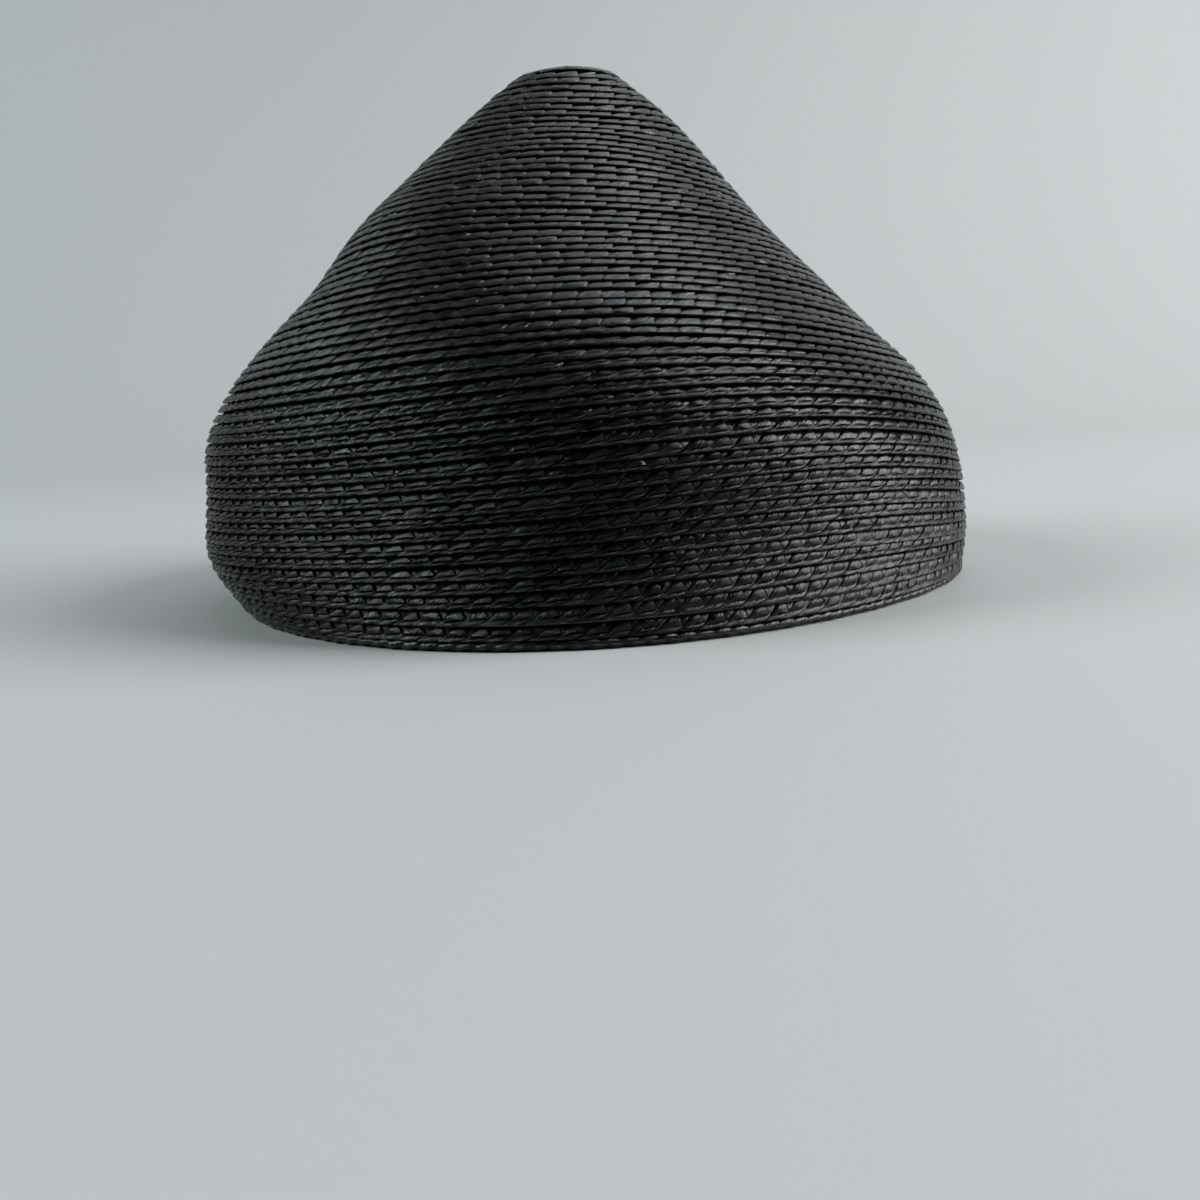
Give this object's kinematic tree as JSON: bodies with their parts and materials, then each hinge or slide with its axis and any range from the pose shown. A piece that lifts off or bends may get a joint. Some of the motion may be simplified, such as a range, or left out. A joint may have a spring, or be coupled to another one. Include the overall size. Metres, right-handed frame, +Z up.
{
  "type": "cocktail hat",
  "caption": "Small conical cocktail hat sewn from narrow black straw braid in one spiral, with a flat coiled tip, rounded shoulder and turned-under rim, open below for a head.",
  "frame": {"origin": "centre of the hat's box on the plane that the rim stands on", "axes": "+Z up from the rim's plane to the tip, -Y towards the seen front, +X to the right as seen from the front"},
  "size_m": [0.1977, 0.1941, 0.1309],
  "materials": {
    "tip_straw": "satin black plaited straw, coiled",
    "crown_straw": "satin black plaited straw, sewn in lapped rows",
    "rim_straw": "satin black plaited straw, folded under"
  },
  "bodies": {
    "root": {"tip_button": "tip_straw", "crown_top": "crown_straw", "crown_shoulder": "crown_straw", "crown_side": "crown_straw", "rim_row": "rim_straw"}
  },
  "joints": []
}
